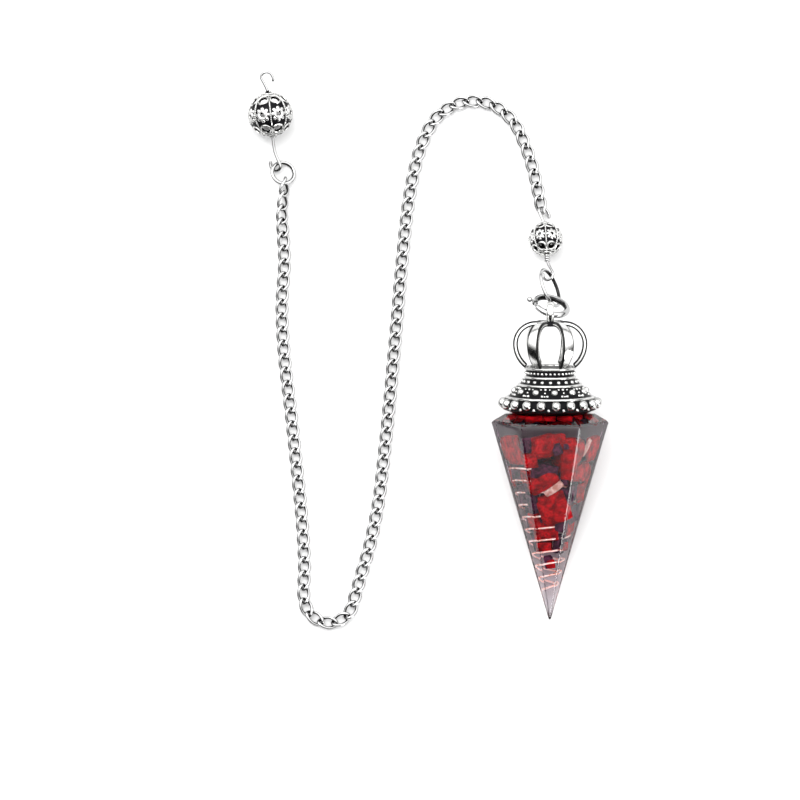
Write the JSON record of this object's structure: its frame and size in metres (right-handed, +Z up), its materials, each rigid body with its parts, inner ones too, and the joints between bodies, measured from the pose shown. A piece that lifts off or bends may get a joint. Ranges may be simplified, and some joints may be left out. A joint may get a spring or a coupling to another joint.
{
  "type": "pendulum pendant",
  "caption": "Dowsing pendulum pendant: a six-sided resin cone with red stone chips and a copper coil, a beaded crown cap, a spring-ring clasp and a curb chain with pierced silver beads.",
  "frame": {"origin": "middle of the patch of the resin cone's lower facet that rests on the table", "axes": "+Z up; +Y along the table from the cone's tip to its crown; +X to the right when the cone is seen from above with the crown away"},
  "size_m": [0.0718, 0.112, 0.0209],
  "materials": {
    "cast_silver": "antique silver plate with black recesses",
    "bright_silver": "bright silver plate",
    "clear_resin": "clear polished casting resin",
    "red_jasper": "tumbled stone",
    "dark_jasper": "tumbled stone",
    "pale_jasper": "tumbled stone",
    "copper_wire": "bright copper"
  },
  "bodies": {
    "pendant": {"finial_pin": "bright_silver", "finial_bead": "cast_silver", "finial_ring": "bright_silver", "chain": "bright_silver", "spacer_pin": "bright_silver", "spacer_bead": "cast_silver", "clasp_link": "bright_silver", "clasp_ring": "bright_silver", "crown_cap": "cast_silver", "resin_cone": "clear_resin", "jasper_chips": "red_jasper", "dark_chips": "dark_jasper", "pale_chips": "pale_jasper", "copper_coil": "copper_wire"},
    "trigger": {"clasp_trigger": "bright_silver"}
  },
  "joints": [
    {"name": "clasp_gate", "type": "hinge", "parent": "pendant", "child": "trigger", "pos_m": [0.00024, 0.03522, 0.01262], "axis": [-0.2435, -0.7494, -0.6157], "range_deg": [0, 36], "stiffness_Nm_per_rad": 0.004, "springref_deg": -20.05}
  ]
}
